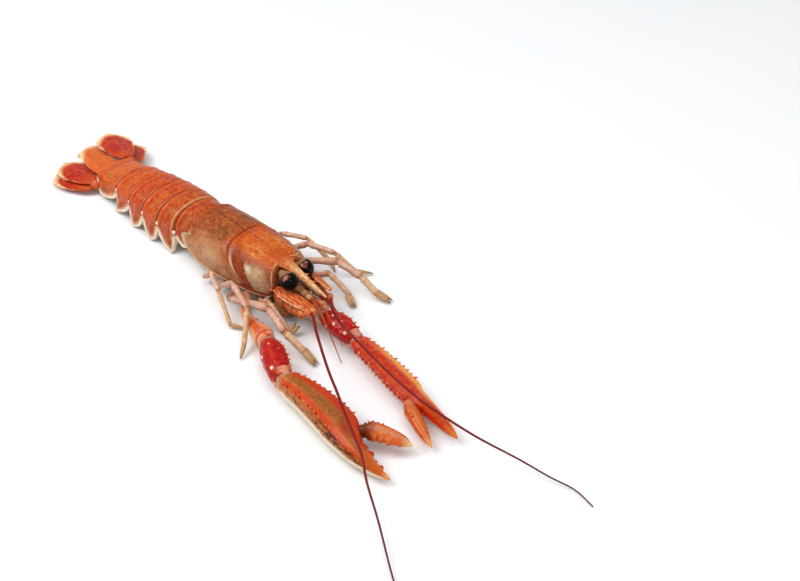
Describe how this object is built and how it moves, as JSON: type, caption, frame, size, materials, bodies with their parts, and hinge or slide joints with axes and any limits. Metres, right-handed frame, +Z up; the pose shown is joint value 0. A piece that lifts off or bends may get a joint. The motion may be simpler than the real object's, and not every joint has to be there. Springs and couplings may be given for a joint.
{
  "type": "cooked langoustine",
  "caption": "Whole cooked langoustine lying belly down, tail stretched out, toothed claws and long feelers reaching forward.",
  "frame": {"origin": "on the table, at the flat under the middle of the chest, between the walking legs", "axes": "+X towards the head along the body, +Y towards the animal's left side, +Z up from the table"},
  "size_m": [0.2741, 0.0988, 0.0206],
  "materials": {
    "shell": "semi-gloss cooked shell, orange-brown over cream",
    "tail_shell": "semi-gloss cooked shell, orange-red with cream rims",
    "tail_fan": "semi-gloss thin shell, red with a pale yellow rim",
    "eye": "glossy black",
    "soft_shell": "satin membrane",
    "head_shell": "semi-gloss shell, orange",
    "feeler": "semi-gloss, dark crimson",
    "antennule": "satin, cream with orange",
    "mouth_leg": "dull, brown and hairy",
    "claw_arm": "semi-gloss shell, orange above and cream below",
    "claw_wrist": "semi-gloss shell, vivid red",
    "claw": "semi-gloss shell, orange-red with olive-brown bands",
    "leg": "semi-gloss shell, pale pink with tan tips"
  },
  "bodies": {
    "root": {"carapace": "shell", "tail_segment_1": "tail_shell", "tail_segment_2": "tail_shell", "tail_segment_3": "tail_shell", "tail_segment_4": "tail_shell", "tail_segment_5": "tail_shell", "tail_segment_6": "tail_shell", "telson": "tail_fan", "tail_fan_inner_right": "tail_fan", "tail_fan_outer_right": "tail_fan", "tail_fan_inner_left": "tail_fan", "tail_fan_outer_left": "tail_fan", "eye_right": "eye", "eye_left": "eye", "eye_stalk_right": "soft_shell", "eye_stalk_left": "soft_shell", "antennal_scale_right": "head_shell", "antennal_scale_left": "head_shell", "antenna_base_right": "head_shell", "antenna_base_left": "head_shell", "antenna_right": "feeler", "antenna_left": "feeler", "antennule_right": "antennule", "antennule_left": "antennule", "mouth_leg_right": "mouth_leg", "mouth_leg_left": "mouth_leg", "claw_arm_right": "claw_arm", "claw_wrist_right": "claw_wrist", "claw_palm_right": "claw", "claw_finger_right": "claw", "claw_arm_left": "claw_arm", "claw_wrist_left": "claw_wrist", "claw_palm_left": "claw", "claw_finger_left": "claw", "leg_right_1": "leg", "leg_right_2": "leg", "leg_right_3": "leg", "leg_right_4": "leg", "leg_left_1": "leg", "leg_left_2": "leg", "leg_left_3": "leg", "leg_left_4": "leg"}
  },
  "joints": []
}
